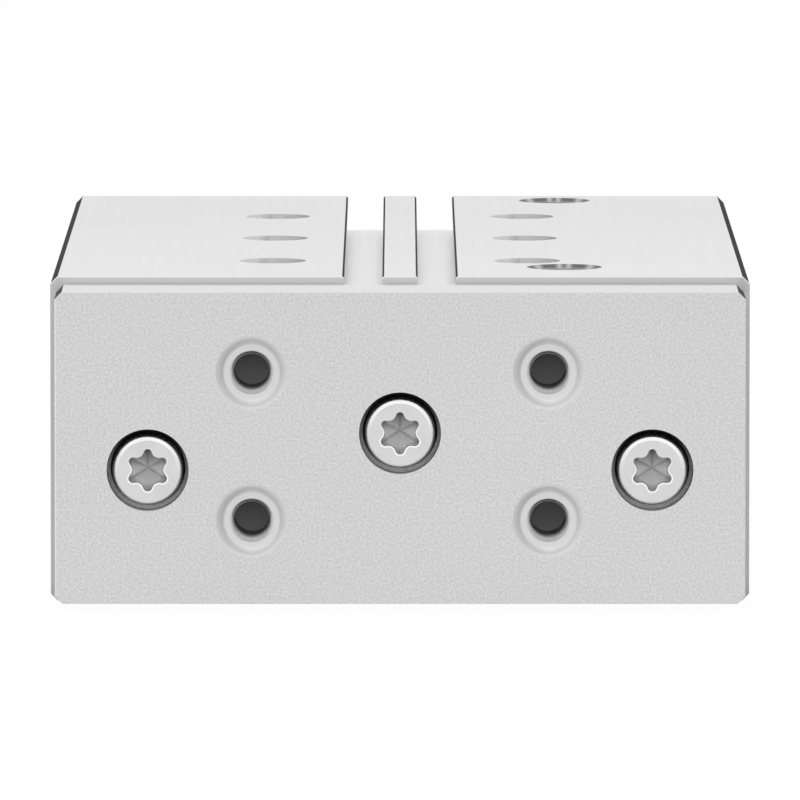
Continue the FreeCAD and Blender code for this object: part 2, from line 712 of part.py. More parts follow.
def rear_end_cap():
    """The rear cap: a flange with its O-ring, a nose for the cushion and a dished outside."""
    back = REAR_CIRCLIP
    outline = [
        (0, REAR_CAP),
        (REAR_NOSE, REAR_CAP),
        (REAR_NOSE, REAR_SHOULDER),
        (CAP_DIAMETER, REAR_SHOULDER),
        (CAP_DIAMETER, back - SEAT_CHAMFER),
        (CAP_DIAMETER - 2 * SEAT_CHAMFER, back),
        (REAR_RECESS, back),
        (REAR_RECESS - 2 * SEAT_CHAMFER, back - REAR_RECESS_DEPTH),
        (0, back - REAR_RECESS_DEPTH),
    ]
    return cut_all(turned(outline), [o_ring_groove(CAP_SEAT, rear_o_ring_middle())])


def circlip(start):
    """A circlip for a bore: a ring that tapers to a gap with two drilled lugs, at the bottom."""
    outer = CIRCLIP_GROOVE / 2 - SEAT_CLEARANCE
    inner = CIRCLIP_GROOVE / 2 - CIRCLIP_WIDTH
    length = CIRCLIP_THICKNESS
    centre = FreeCAD.Vector(0, start, CYLINDER_HEIGHT)
    ring = Part.makeCylinder(outer, length, centre, REARWARD)
    hollow = Part.makeCylinder(inner, length, centre + UP * -CIRCLIP_TAPER, REARWARD)
    lug_reach = CAP_SEAT / 2 - CIRCLIP_LUG / 2
    lug_angle = math.asin((CIRCLIP_GAP + CIRCLIP_LUG) / 2 / lug_reach)
    lugs = []
    holes = []
    for side in (-1, 1):
        way = FreeCAD.Vector(side * math.sin(lug_angle), 0, -math.cos(lug_angle))
        spot = centre + way * (lug_reach - CIRCLIP_LUG / 4)
        lugs.append(Part.makeCylinder(CIRCLIP_LUG / 2, length, spot, REARWARD))
        holes.append(Part.makeCylinder(CIRCLIP_HOLE / 2, length, spot, REARWARD))
    gap_corner = centre + FreeCAD.Vector(-CIRCLIP_GAP / 2, 0, -CIRCLIP_GROOVE)
    gap = Part.makeBox(CIRCLIP_GAP, length, CIRCLIP_GROOVE, gap_corner)
    clip = ring.cut(hollow).fuse(lugs).cut(Part.makeCompound(holes)).cut(gap)
    return clip.removeSplitter().Solids[0]


def guide_bush(start, x):
    """One plain bush of a guide rod, with a small lead-in at both ends."""
    end = start + GUIDE_BUSH_LENGTH
    inner = GUIDE_ROD + 2 * RUN_CLEARANCE
    outer = GUIDE_SEAT - 2 * SEAT_CLEARANCE
    outline = [
        (inner + SEAT_CHAMFER, start),
        (outer - SEAT_CHAMFER, start),
        (outer, start + SEAT_CHAMFER),
        (outer, end - SEAT_CHAMFER),
        (outer - SEAT_CHAMFER, end),
        (inner + SEAT_CHAMFER, end),
        (inner, end - SEAT_CHAMFER),
        (inner, start + SEAT_CHAMFER),
    ]
    return turned(outline, x, GUIDE_HEIGHT)


def guide_wiper(x):
    """The wiper at the mouth of a guide bore, with its lip at the front of the rod."""
    end = FRONT_BUSH
    inner = GUIDE_ROD + 2 * RUN_CLEARANCE
    outer = GUIDE_SEAT - 2 * SEAT_CLEARANCE
    waist = inner + WIPER_LIP
    outline = [
        (inner, WIPER_FRONT),
        (waist, WIPER_FRONT),
        (waist + WIPER_LIP, WIPER_FRONT + WIPER_LIP),
        (outer, WIPER_FRONT + WIPER_LIP),
        (outer, end),
        (waist, end),
        (waist, WIPER_FRONT + 2 * WIPER_LIP),
    ]
    return turned(outline, x, GUIDE_HEIGHT)


def nodes():
    """Every piece by its name."""
    left, rod, right = RODS
    pieces = {
        "housing": housing(),
        "front_bearing_cap": front_bearing_cap(),
        "rod_bush": rod_bush(),
        "rod_seal": rod_seal(),
        "front_cap_o_ring": o_ring(BORE, front_o_ring_middle()),
        "front_circlip": circlip(FRONT_CIRCLIP),
        "front_cushion_ring": cushion_ring(FRONT_CUSHION),
        "rear_end_cap": rear_end_cap(),
        "rear_cap_o_ring": o_ring(CAP_SEAT, rear_o_ring_middle()),
        "rear_circlip": circlip(REAR_CIRCLIP),
        "rear_cushion_ring": cushion_ring(REAR_CUSHION),
        "yoke_plate": yoke_plate(),
        "piston_rod_screw": yoke_screw(*rod),
        "piston_rod": piston_rod(),
        "piston": piston(),
        "piston_screw": piston_screw(),
        "front_piston_seal": piston_seal(0, False),
        "piston_wear_ring": piston_wear_ring(),
        "piston_magnet": piston_magnet(),
        "rear_piston_seal": piston_seal(3, True),
    }
    for side, (x, z) in (("left", left), ("right", right)):
        pieces[side + "_guide_rod_screw"] = yoke_screw(x, z)
        pieces[side + "_guide_rod"] = guide_rod(x)
        pieces[side + "_guide_wiper"] = guide_wiper(x)
        pieces[side + "_front_guide_bush"] = guide_bush(FRONT_BUSH, x)
        pieces[side + "_rear_guide_bush"] = guide_bush(REAR_BUSH, x)
    return pieces


os.makedirs("parts", exist_ok=True)
for name, shape in nodes().items():
    shape.exportStep(os.path.join("parts", name + ".step"))
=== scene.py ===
# %% [markdown]
# # A guided cylinder, from bare solids to a studio picture
# The solids of this part come from its CAD source: a housing with an air cylinder between two guide
# rods, and a yoke plate that the rods push out. This lesson gives them light, a camera, finishes and
# the screw threads that the source leaves as plain holes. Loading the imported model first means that
# everything made here is measured against the real thing, in metres and in the same frame.

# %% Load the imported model
import json
import math

import bmesh
import bpy
from mathutils import Matrix, Vector


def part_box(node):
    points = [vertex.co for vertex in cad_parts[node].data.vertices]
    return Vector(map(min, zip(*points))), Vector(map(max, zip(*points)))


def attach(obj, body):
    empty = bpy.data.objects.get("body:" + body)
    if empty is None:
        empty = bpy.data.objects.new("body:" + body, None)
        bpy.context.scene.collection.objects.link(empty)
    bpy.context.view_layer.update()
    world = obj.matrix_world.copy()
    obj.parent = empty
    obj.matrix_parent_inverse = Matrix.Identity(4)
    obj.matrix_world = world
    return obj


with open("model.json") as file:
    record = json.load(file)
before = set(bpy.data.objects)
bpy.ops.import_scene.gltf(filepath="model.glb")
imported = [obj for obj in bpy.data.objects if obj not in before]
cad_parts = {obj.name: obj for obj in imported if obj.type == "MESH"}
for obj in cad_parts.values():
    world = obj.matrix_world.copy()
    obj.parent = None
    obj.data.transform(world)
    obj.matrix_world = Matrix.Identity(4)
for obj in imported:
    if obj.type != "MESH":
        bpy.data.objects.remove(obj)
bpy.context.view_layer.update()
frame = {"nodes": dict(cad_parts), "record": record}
mounts = {mount["name"]: mount for mount in frame["record"]["mounts"]}
print("solids:", len(frame["nodes"]), "mounts:", len(mounts))

# %% [markdown]
# ## The camera
# The photograph was taken with a long lens from almost two metres away, straight in front of the
# plate and a little above it, so that lines running away from us hardly come together. A camera
# can be placed by eye, but the plate's tapped holes and the recesses on top lie at known places, so
# their positions in the picture give the distance, the tilt and the lens. No lens shift is needed.

# %% Place the camera
SENSOR_WIDTH_MM = 36.0
LENS_MM = 600.7
CAMERA_PLACE = (0.0, -1.87689, 0.18999)
CAMERA_TILT = math.radians(84.845)

camera_data = bpy.data.cameras.new("camera")
camera_data.sensor_width = SENSOR_WIDTH_MM
camera_data.lens = LENS_MM
camera_data.clip_start = 0.05
camera_data.clip_end = 200.0
camera = bpy.data.objects.new("camera", camera_data)
camera.location = CAMERA_PLACE
camera.rotation_euler = (CAMERA_TILT, 0.0, 0.0)
bpy.context.collection.objects.link(camera)
scene = bpy.context.scene
scene.camera = camera
scene.view_settings.view_transform = "Standard"
print("camera stands", round(camera.location.length, 3), "m from the middle of the part")

# %% [markdown]
# ## A short way to write shader nodes
# A finish is a small network of nodes. Adding each one by hand takes three or four lines, so these
# helpers make a node, set its options and fill its inputs in one call. An input that is given
# another node's output is linked to it, and any other value is simply set. Sums and comparisons get
# names of their own, because a mask then reads almost like a sentence.

# %% Helpers for nodes
def fill(tree, socket, value):
    if isinstance(value, bpy.types.NodeSocket):
        tree.links.new(value, socket)
    else:
        socket.default_value = value


def put(tree, kind, inputs=None, **options):
    node = tree.nodes.new(kind)
    for option, value in options.items():
        setattr(node, option, value)
    for name, value in (inputs or {}).items():
        fill(tree, node.inputs[name], value)
    return node


print("helpers ready: fill, put")

# %% Helpers for sums and comparisons
def math_node(tree, operation, first, second=0.0):
    return put(tree, "ShaderNodeMath", {0: first, 1: second}, operation=operation).outputs[0]


def less(tree, first, second):
    return math_node(tree, "SUBTRACT", first, second)


def unsigned(tree, value):
    return math_node(tree, "ABSOLUTE", value)


def both(tree, first, second):
    return math_node(tree, "MULTIPLY", first, second)


def either(tree, first, second):
    return math_node(tree, "MAXIMUM", first, second)


def below(tree, value, limit):
    return math_node(tree, "LESS_THAN", value, limit)


def above(tree, value, limit):
    return math_node(tree, "GREATER_THAN", value, limit)


def within(tree, value, low, high):
    return both(tree, above(tree, value, low), below(tree, value, high))


print("helpers ready: less, unsigned, both, either, below, above, within")

# %% [markdown]
# ## The floor
# The part stands on a plain white sweep. Seen by the camera or in a reflection the sweep is close to
# pure white, as in the photograph, while light that bounces off it is weaker, so that the undersides
# stay dark. A brighter lamp could whiten the floor too, but it would burn out the metal, so Light Path
# tells the two uses apart. A small share of the seen colour is still a lit surface, and that keeps the
# soft shadow under the part.

# %% Paper of the floor
BOUNCE_GREY = (0.45, 0.45, 0.45, 1.0)
LIT_GREY = (0.95, 0.95, 0.95, 1.0)
WHITE = (1.0, 1.0, 1.0, 1.0)
GLOW_SHARE = 0.96


def seen_directly(tree):
    path = put(tree, "ShaderNodeLightPath").outputs
    seen = either(tree, path["Is Camera Ray"], path["Is Glossy Ray"])
    return either(tree, seen, path["Is Transmission Ray"])


floor_paper = bpy.data.materials.new("floor_paper")
floor_paper.use_nodes = True
tree = floor_paper.node_tree
tree.nodes.clear()
bounce = put(tree, "ShaderNodeBsdfDiffuse", {"Color": BOUNCE_GREY}).outputs[0]
lit = put(tree, "ShaderNodeBsdfDiffuse", {"Color": LIT_GREY}).outputs[0]
glow = put(tree, "ShaderNodeEmission", {"Color": WHITE, "Strength": 1.0}).outputs[0]
white = put(tree, "ShaderNodeMixShader", {0: GLOW_SHARE, 1: lit, 2: glow}).outputs[0]
paper = put(tree, "ShaderNodeMixShader", {0: seen_directly(tree), 1: bounce, 2: white}).outputs[0]
put(tree, "ShaderNodeOutputMaterial", {"Surface": paper})
print("paper:", len(tree.nodes), "nodes")

# %% Lay the floor
FLOOR_HALF_WIDTH = 40.0

sweep = bmesh.new()
bmesh.ops.create_grid(sweep, x_segments=1, y_segments=1, size=FLOOR_HALF_WIDTH)
floor_mesh = bpy.data.meshes.new("floor")
sweep.to_mesh(floor_mesh)
sweep.free()
floor_mesh.materials.append(floor_paper)
floor = bpy.data.objects.new("floor", floor_mesh)
bpy.context.collection.objects.link(floor)
print("floor:", floor.dimensions.x, "m wide")

# %% [markdown]
# ## The light
# A product picture like this one is lit by a large soft box above the part and slightly in front of
# it, which makes the top the brightest side, and by the pale room around it. The room is the world:
# white where it is seen or reflected and dimmer as a light. A second, weaker box near the camera
# lifts the plate's face. The boxes are kept out of reflections, because the image of a lamp in satin
# metal burns out to white. The metal then mirrors only the even room.

# %% The pale room
ROOM_AS_LIGHT, ROOM_AS_SEEN = 0.8, 1.0

world = bpy.data.worlds.new("room")
scene.world = world
world.use_nodes = True
tree = world.node_tree
tree.nodes.clear()
strengths = {"Value": seen_directly(tree), "To Min": ROOM_AS_LIGHT, "To Max": ROOM_AS_SEEN}
strength = put(tree, "ShaderNodeMapRange", strengths).outputs[0]
room = put(tree, "ShaderNodeBackground", {"Color": WHITE, "Strength": strength}).outputs[0]
put(tree, "ShaderNodeOutputWorld", {"Surface": room})
print("room:", ROOM_AS_LIGHT, "as a light,", ROOM_AS_SEEN, "where it is seen")

# %% The two soft boxes
def soft_box(name, place, aim, width, depth, power):
    data = bpy.data.lights.new(name, "AREA")
    data.shape = "RECTANGLE"
    data.size = width
    data.size_y = depth
    data.energy = power
    lamp = bpy.data.objects.new(name, data)
    lamp.visible_glossy = False
    lamp.location = place
    lamp.rotation_euler = (Vector(aim) - Vector(place)).to_track_quat("-Z", "Y").to_euler()
    bpy.context.collection.objects.link(lamp)
    print(name, "radiance", round(power / (math.pi * width * depth), 2))


soft_box("top_box", place=(-0.15, -0.25, 1.3), aim=(0, 0, 0.02), width=1.4, depth=1.4, power=6.0)
soft_box("front_box", place=(0.1, -3.0, 0.72), aim=(0, -0.08, 0.02), width=2.0, depth=1.0, power=11.0)

# %% [markdown]
# ## Ingredients that several finishes share
# Real metal is never one even grey. Every finish below is mixed from the same few ingredients, read
# from Object coordinates so that they stay on the piece: speckle of a given size, and streaks, which
# are the same speckle stretched along one direction. The grey then wanders a little around its mean,
# the gloss with it, and a very low bump gives the surface its grain. Image textures could hold all
# this as well, but nodes stay sharp at any distance and need no file.

# %% Grain and its range
NOISE = (0.3, 0.7)
SLIGHT, FAINT = (0.985, 1.015), (0.97, 1.03)


def place_on_piece(tree):
    return put(tree, "ShaderNodeTexCoord").outputs["Object"]


def speckle(tree, size, detail=2.0, stretch=(1.0, 1.0, 1.0)):
    scale = tuple(1.0 / (size * factor) for factor in stretch)
    grid = put(tree, "ShaderNodeMapping", {"Vector": place_on_piece(tree), "Scale": scale}).outputs[0]
    inputs = {"Vector": grid, "Scale": 1.0, "Detail": detail}
    return put(tree, "ShaderNodeTexNoise", inputs).outputs["Fac"]


def spread(tree, value, levels, over=NOISE):
    (start, end), (low, high) = over, levels
    inputs = {"Value": value, "From Min": start, "From Max": end, "To Min": low, "To Max": high}
    return put(tree, "ShaderNodeMapRange", inputs).outputs[0]


print("ingredients ready: speckle, spread")

# %% Colour, gloss and relief
def new_finish(name, **constants):
    finish = bpy.data.materials.new(name)
    finish.use_nodes = True
    shader = finish.node_tree.nodes["Principled BSDF"]
    for socket, value in constants.items():
        shader.inputs[socket.replace("_", " ").title().replace("Ior", "IOR")].default_value = value
    return finish, finish.node_tree, shader


def tint(tree, colour, *factors):
    shade = factors[0]
    for factor in factors[1:]:
        shade = both(tree, shade, factor)
    return put(tree, "ShaderNodeVectorMath", {0: colour, "Scale": shade}, operation="SCALE").outputs[0]


def grey(tree, level, *factors):
    return tint(tree, (level, level, level), *factors)


def coat(tree, shader, colour, roughness):
    tree.links.new(colour, shader.inputs["Base Color"])
    tree.links.new(roughness, shader.inputs["Roughness"])


def bump(tree, shader, height, depth, strength=1.0):
    relief = put(tree, "ShaderNodeBump", {"Height": height, "Distance": depth, "Strength": strength})
    tree.links.new(relief.outputs[0], shader.inputs["Normal"])


print("ingredients ready: tint, grey, coat, bump")

# %% [markdown]
# ## Finding a place on a solid
# The ends, holes and cut edges of a solid do not look like its faces. The mesh could be split, or its
# faces picked by hand for other materials. A mask is simpler and leaves the solid whole: it is 1 where
# a point's place and the way it faces say so and 0 elsewhere, and one colour is painted over another
# with it.

# %% Masks from place and direction
SQUARE_ON = 0.98


def axes_of(tree, vector):
    return put(tree, "ShaderNodeSeparateXYZ", {0: vector}).outputs


def where(tree):
    return axes_of(tree, place_on_piece(tree))


def facing(tree):
    return axes_of(tree, put(tree, "ShaderNodeTexCoord").outputs["Normal"])


def facing_along(tree):
    return above(tree, unsigned(tree, facing(tree)["Y"]), SQUARE_ON)


def reach_of(tree, across, up):
    flat = put(tree, "ShaderNodeCombineXYZ", {0: across, 1: up}).outputs[0]
    return put(tree, "ShaderNodeVectorMath", {0: flat}, operation="LENGTH").outputs["Value"]


def painted(tree, under, mask, over):
    return put(tree, "ShaderNodeMix", {"Factor": mask, 6: under, 7: over}, data_type="RGBA").outputs[2]


def graded(tree, under, mask, over):
    return put(tree, "ShaderNodeMix", {"Factor": mask, 2: under, 3: over}).outputs[0]


print("masks ready")

# %% [markdown]
# ## Anodised housing: the bar
# The housing is sawn from an extruded bar, milled, blasted very finely and anodised, which leaves a
# light satin grey. Extruded bar keeps faint lines along its length. A bump could show them, but under
# soft light the grey itself has to, so one speckle is stretched along Y. Painted light and shade do the
# rest: the grey fades a little from front to rear, the floors of the sensor slots are painted lighter
# to make up for the shade in them, and the sawn ends carry painted shade, a little more so on the right.

# %% Faces of the bar
HOUSING_GREY, SLOT_FLOOR_LIGHTENED_GREY, SAWN_END_SHADE_GREY = 0.745, 0.89, 0.66
SLOT_FLOOR_Z, SLOT_FLOOR_MARGIN = 0.039, 0.0005
LEVEL = 0.9
housing_low, housing_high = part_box("housing")


def bar_faces(tree, ends, lines, grain, clouds):
    place = where(tree)
    # painted light falloff: the grey fades a little from front to rear
    painted_falloff = spread(tree, place["Y"], (1.02, 0.95), over=(housing_low.y, housing_high.y))
    colour = grey(tree, HOUSING_GREY, lines, grain, clouds, painted_falloff)
    # painted light: the slot floors are lighter to make up for the shade in the slots
    level = above(tree, facing(tree)["Z"], LEVEL)
    deep = within(tree, place["Z"], SLOT_FLOOR_Z - SLOT_FLOOR_MARGIN, SLOT_FLOOR_Z + SLOT_FLOOR_MARGIN)
    lightened_slot_floor = grey(tree, SLOT_FLOOR_LIGHTENED_GREY, lines, grain, painted_falloff)
    colour = painted(tree, colour, both(tree, level, deep), lightened_slot_floor)
    # painted shade on the sawn ends, darker still towards the right
    right = spread(tree, place["X"], (1.0, 0.967), over=(0.0, 0.01))
    far_right = spread(tree, place["X"], (1.0, 0.96), over=(0.0455, 0.0465))
    return painted(tree, colour, ends, grey(tree, SAWN_END_SHADE_GREY, grain, clouds, right, far_right))


print("housing spans", [round(c, 4) for c in housing_high - housing_low])

# %% [markdown]
# ## Anodised housing: recesses and ports
# The mounting holes lie in shallow milled recesses, of which the camera sees only a thin curved wall.
# Its right side is in shade and its left side catches the light, so the grey follows the way the wall
# faces. The ports are turned with a form tool after anodising. Their bare cones flash where they catch
# the light, and a wedge of it, measured by the turn about the port's axis, stands for each flash.

# %% Walls of the recesses
RECESSES_ACROSS = (0.012, 0.0232)
RECESSES_ALONG = (-0.0535, 0.0405)
UPRIGHT = (-0.8, 0.8)


def recess_walls(tree, colour, grain):
    place, normal = where(tree), facing(tree)
    upright = within(tree, normal["Z"], *UPRIGHT)
    across = within(tree, unsigned(tree, place["X"]), *RECESSES_ACROSS)
    along = within(tree, place["Y"], *RECESSES_ALONG)
    walls = both(tree, upright, both(tree, across, along))
    shade = spread(tree, normal["X"], (0.57, 0.72), over=(-0.8, 0.0))
    glint = spread(tree, normal["X"], (1.0, 1.38), over=(0.25, 0.6))
    return painted(tree, colour, walls, grey(tree, 1.0, shade, glint, grain))


print("recesses lie between", *RECESSES_ACROSS, "m from the middle")

# %% Cones of the ports
PORTS = ("front_port", "rear_port")
PORT_CONE_RADIUS, PORT_BORE_RADIUS = 0.00515, 0.0046
PORT_SHADE, PORT_FLASH, PORT_BORE_GREY = 0.17, 0.54, 0.6


def wedge(tree, turn, middle, half_width):
    return spread(tree, unsigned(tree, less(tree, turn, middle)), (1.0, 0.0), over=(0.0, half_width))


def turned_port(tree, colour, mount, grain):
    x, y, _ = mount["pos_m"]
    place = where(tree)
    across = less(tree, place["X"], x)
    reach = reach_of(tree, across, less(tree, place["Y"], y))
    turn = math_node(tree, "DIVIDE", unsigned(tree, across), reach)
    side_flash = wedge(tree, turn, middle=0.73, half_width=0.16)
    end_flash = wedge(tree, turn, middle=0.13, half_width=0.13)
    turned = spread(tree, either(tree, side_flash, end_flash), (PORT_SHADE, PORT_FLASH), over=(0.0, 1.0))
    colour = painted(tree, colour, below(tree, reach, PORT_CONE_RADIUS), grey(tree, 1.0, turned, grain))
    return painted(tree, colour, below(tree, reach, PORT_BORE_RADIUS), grey(tree, PORT_BORE_GREY, grain))


print("ports at", [mounts[name]["pos_m"] for name in PORTS])

# %% [markdown]
# ## Anodised housing: cut edges
# The long edges of the bar and the lips of its slots are broken by a cutter and show as dark lines in
# the photograph. Their grey is a painted reflection, nearly black for the dark surroundings they mirror,
# with a painted highlight on the tip at the front. They are the only faces that lean half up and run
# along the bar, so the way they face finds them.

# %% Broken edges
EDGE_BAND = 0.0015
EDGE_REFLECTION_GREY, EDGE_TIP_HIGHLIGHT_GREY = 0.075, 0.95
EDGE_TIP_LENGTH = 0.0024
LEANING, LENGTHWISE = (0.5, 0.9), (-0.05, 0.05)


def slanted_edges(tree, low, high):
    normal = facing(tree)
    leaning = within(tree, unsigned(tree, normal["Z"]), *LEANING)
    lengthwise = within(tree, normal["Y"], *LENGTHWISE)
    inner = within(tree, where(tree)["Z"], low.z + EDGE_BAND, high.z - EDGE_BAND)
    return both(tree, both(tree, leaning, lengthwise), less(tree, 1.0, inner))


def cut_edges(tree, colour, edges, lines, grain):
    tip_highlights = both(tree, edges, below(tree, where(tree)["Y"], housing_low.y + EDGE_TIP_LENGTH))
    # painted reflection: the broken edges nearly black; painted highlight on their front tips
    colour = painted(tree, colour, edges, grey(tree, EDGE_REFLECTION_GREY, lines, grain))
    return painted(tree, colour, tip_highlights, grey(tree, EDGE_TIP_HIGHLIGHT_GREY, grain))


print("edges lie within", EDGE_BAND, "m of the top and the base")

# %% Finish of the housing
CUT_ROUGHNESS = 0.65
BAR_METAL, END_METAL = 0.8, 0.3


def anodised_housing():
    finish, tree, shader = new_finish("anodised_housing", specular_ior_level=0.0)
    lines = spread(tree, speckle(tree, 0.0005, stretch=(1, 300, 1)), SLIGHT)
    grain = spread(tree, speckle(tree, 0.0004), SLIGHT)
    clouds = spread(tree, speckle(tree, 0.05), SLIGHT)
    ends, edges = facing_along(tree), slanted_edges(tree, housing_low, housing_high)
    colour = recess_walls(tree, bar_faces(tree, ends, lines, grain, clouds), grain)
    for name in PORTS:
        colour = turned_port(tree, colour, mounts[name], grain)
    satin = spread(tree, speckle(tree, 0.0006), (0.34, 0.42))
    roughness = graded(tree, satin, either(tree, ends, edges), CUT_ROUGHNESS)
    coat(tree, shader, cut_edges(tree, colour, edges, lines, grain), roughness)
    metal = graded(tree, graded(tree, BAR_METAL, ends, END_METAL), edges, 0.0)
    tree.links.new(metal, shader.inputs["Metallic"])
    bump(tree, shader, speckle(tree, 0.0003), depth=0.00001)
    return finish


finishes = {"anodised_housing": anodised_housing()}
print("finishes:", list(finishes))

# %% [markdown]
# ## Blasted yoke plate: where its holes are
# The plate carries three sunk screws and four tapped holes, all along Y. Most of what the eye sees on
# it depends on the distance from the nearest of those axes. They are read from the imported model, so
# they need no measuring, and because the plate is the same on both sides, X is taken without its sign.

# %% Axes of screws and tapped holes
MM = 0.001


def axis_of(node):
    low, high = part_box(node)
    middle = (low + high) / 2
    return round(middle.x, 5), round(middle.z, 5)


def hole_places(mount):
    place, dims = Vector(mount["pos_m"]), mount["dims"]
    second = Vector((0, 0, 1)) if abs(mount["axis"][1]) > 0.5 else Vector((0, 1, 0))
    rows = (-0.5, 0.5) if "spacing_y_mm" in dims else (0.0,)
    for side in (-0.5, 0.5):
        for row in rows:
            across = Vector((side * dims["spacing_x_mm"] * MM, 0, 0))
            yield place + across + second * row * dims.get("spacing_y_mm", 0.0) * MM


SCREW_AXES = (axis_of("piston_rod_screw"), axis_of("right_guide_rod_screw"))
PLATE_HOLES = [(round(p.x, 5), round(p.z, 5)) for p in hole_places(mounts["yoke_bolts"]) if p.x > 0]
print("screws:", SCREW_AXES, "tapped holes:", PLATE_HOLES)

# %% Distances from those axes
BETWEEN_SCREWS = 0.015
FAR_AWAY = 1.0


def from_level_axes(tree, axes):
    place = where(tree)
    sideways = unsigned(tree, place["X"])
    nearest = FAR_AWAY
    for x, z in axes:
        distance = reach_of(tree, less(tree, sideways, x), less(tree, place["Z"], z))
        nearest = math_node(tree, "MINIMUM", distance, nearest)
    return nearest


def place_on_screw(tree):
    place = where(tree)
    sideways = unsigned(tree, place["X"])
    middle = below(tree, sideways, BETWEEN_SCREWS)
    (middle_x, middle_z), (side_x, side_z) = SCREW_AXES
    across = less(tree, sideways, graded(tree, side_x, middle, middle_x))
    up = less(tree, place["Z"], graded(tree, side_z, middle, middle_z))
    return put(tree, "ShaderNodeCombineXYZ", {0: across, 1: up}).outputs[0]


print("distances ready")

# %% [markdown]
# ## Blasted yoke plate: the tapped holes
# Each tapped hole starts in a shallow dish with a soft rim, cut after blasting, so it is smoother than
# the face round it. The dish darkens towards its rim, most where it faces right, and is lit at the
# bottom. The countersink is bright, the thread's mouth fades into the dark, and the upper lip, which
# faces down, is almost black. Lamps small enough to draw all this would spoil the even light elsewhere,
# so the greys follow the distance from the axis and the way the wall faces.

# %% Dish, countersink and tap
DISH_RADIUS, DISH_FLOOR_RADIUS, COUNTERSINK_RADIUS, TAP_RADIUS = 0.0048, 0.0037, 0.00305, 0.0027
DISH_FLOOR_GREY, LIP_GREY = 0.76, 0.03
LIP_RADIUS = 0.00285
FACING_DOWN = (-0.7, -0.1)
MOUTH = (-0.0856, -0.080)


def dish_walls(tree, colour, hole, clouds):
    normal = facing(tree)
    widening = spread(tree, unsigned(tree, normal["X"]), (1.0, 1.1), over=(0.0, 0.6))
    wider = both(tree, hole, widening)
    dip = spread(tree, wider, (0.78, 0.67), over=(0.0037, 0.0044))
    rise = spread(tree, wider, (1.0, 1.18), over=(0.0045, 0.0049))
    lean = spread(tree, normal["X"], (1.0, 0.87), over=(0.0, 0.5))
    before_rim = spread(tree, hole, (1.0, 0.0), over=(0.0041, 0.0044))
    lift = graded(tree, 1.0, before_rim, spread(tree, normal["Z"], (1.0, 1.1), over=(0.0, 0.5)))
    walls = grey(tree, 1.0, dip, rise, lean, lift, clouds)
    return painted(tree, colour, below(tree, hole, DISH_RADIUS), walls)


def tapped_holes(tree, colour, grain, clouds):
    hole = from_level_axes(tree, PLATE_HOLES)
    up = facing(tree)["Z"]
    colour = dish_walls(tree, colour, hole, clouds)
    floors = below(tree, hole, DISH_FLOOR_RADIUS)
    colour = painted(tree, colour, floors, grey(tree, DISH_FLOOR_GREY, clouds))
    steep = spread(tree, unsigned(tree, up), (0.85, 0.6), over=(0.2, 0.7))
    colour = painted(tree, colour, below(tree, hole, COUNTERSINK_RADIUS), grey(tree, 1.0, steep, clouds))
    mouth = spread(tree, where(tree)["Y"], (0.85, 0.26), over=MOUTH)
    colour = painted(tree, colour, below(tree, hole, TAP_RADIUS), grey(tree, 1.0, mouth, grain))
    overhang = spread(tree, up, (LIP_RADIUS, TAP_RADIUS), over=FACING_DOWN)
    lips = both(tree, below(tree, hole, overhang), below(tree, up, FACING_DOWN[1]))
    return painted(tree, colour, lips, grey(tree, LIP_GREY, grain))


print("dishes are", 2 * DISH_RADIUS, "m wide, taps", 2 * TAP_RADIUS, "m")

# %% [markdown]
# ## Blasted yoke plate: the counterbores
# The screws sit in stepped counterbores, drilled after blasting. Light reaches the lower half of the
# step and hardly the upper half, and the narrow gap round the screw head is darker still. Height above
# the screw's axis tells the two halves apart.

# %% Counterbores of the screws
COUNTERBORE_RADIUS, GAP_RADIUS = 0.00553, 0.00505


def counterbores(tree, colour, grain):
    reach = from_level_axes(tree, SCREW_AXES)
    height = axes_of(tree, place_on_screw(tree))["Y"]
    low = spread(tree, height, (0.76, 0.42), over=(-0.0055, 0.0))
    high = spread(tree, height, (1.0, 0.1), over=(0.0005, 0.004))
    bores = below(tree, reach, COUNTERBORE_RADIUS)
    colour = painted(tree, colour, bores, grey(tree, 1.0, low, high, grain))
    gap = spread(tree, height, (0.7, 0.04), over=(-0.0045, -0.001))
    return painted(tree, colour, below(tree, reach, GAP_RADIUS), grey(tree, 1.0, gap, grain))


print("counterbores are", 2 * COUNTERBORE_RADIUS, "m wide")

# %% [markdown]
# ## Blasted yoke plate: the face
# The plate's face is bead-blasted before anodising: thousands of tiny dents make it matt, with a fine
# grain that shows even in the photograph. A speckle of a third of a millimetre gives both the grain
# and its relief. The top is milled and stays smooth. A thin painted highlight runs down the left edge,
# and the broken long edges are painted nearly black, a painted reflection like those of the housing.

# %% Finish of the yoke plate
PLATE_GREY, MILLED_GREY, LEFT_EDGE_HIGHLIGHT_GREY, PLATE_EDGE_REFLECTION_GREY = 0.725, 0.745, 0.86, 0.10
GRAIN_SIZE, GRAIN_DETAIL = 0.0003, 3.0
MILLED_BAND, LEFT_EDGE_WIDTH = 0.00017, 0.00021
MILLED_RELIEF, PLATE_METAL = 0.25, 0.6
UPWARD = 0.7
plate_low, plate_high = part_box("yoke_plate")


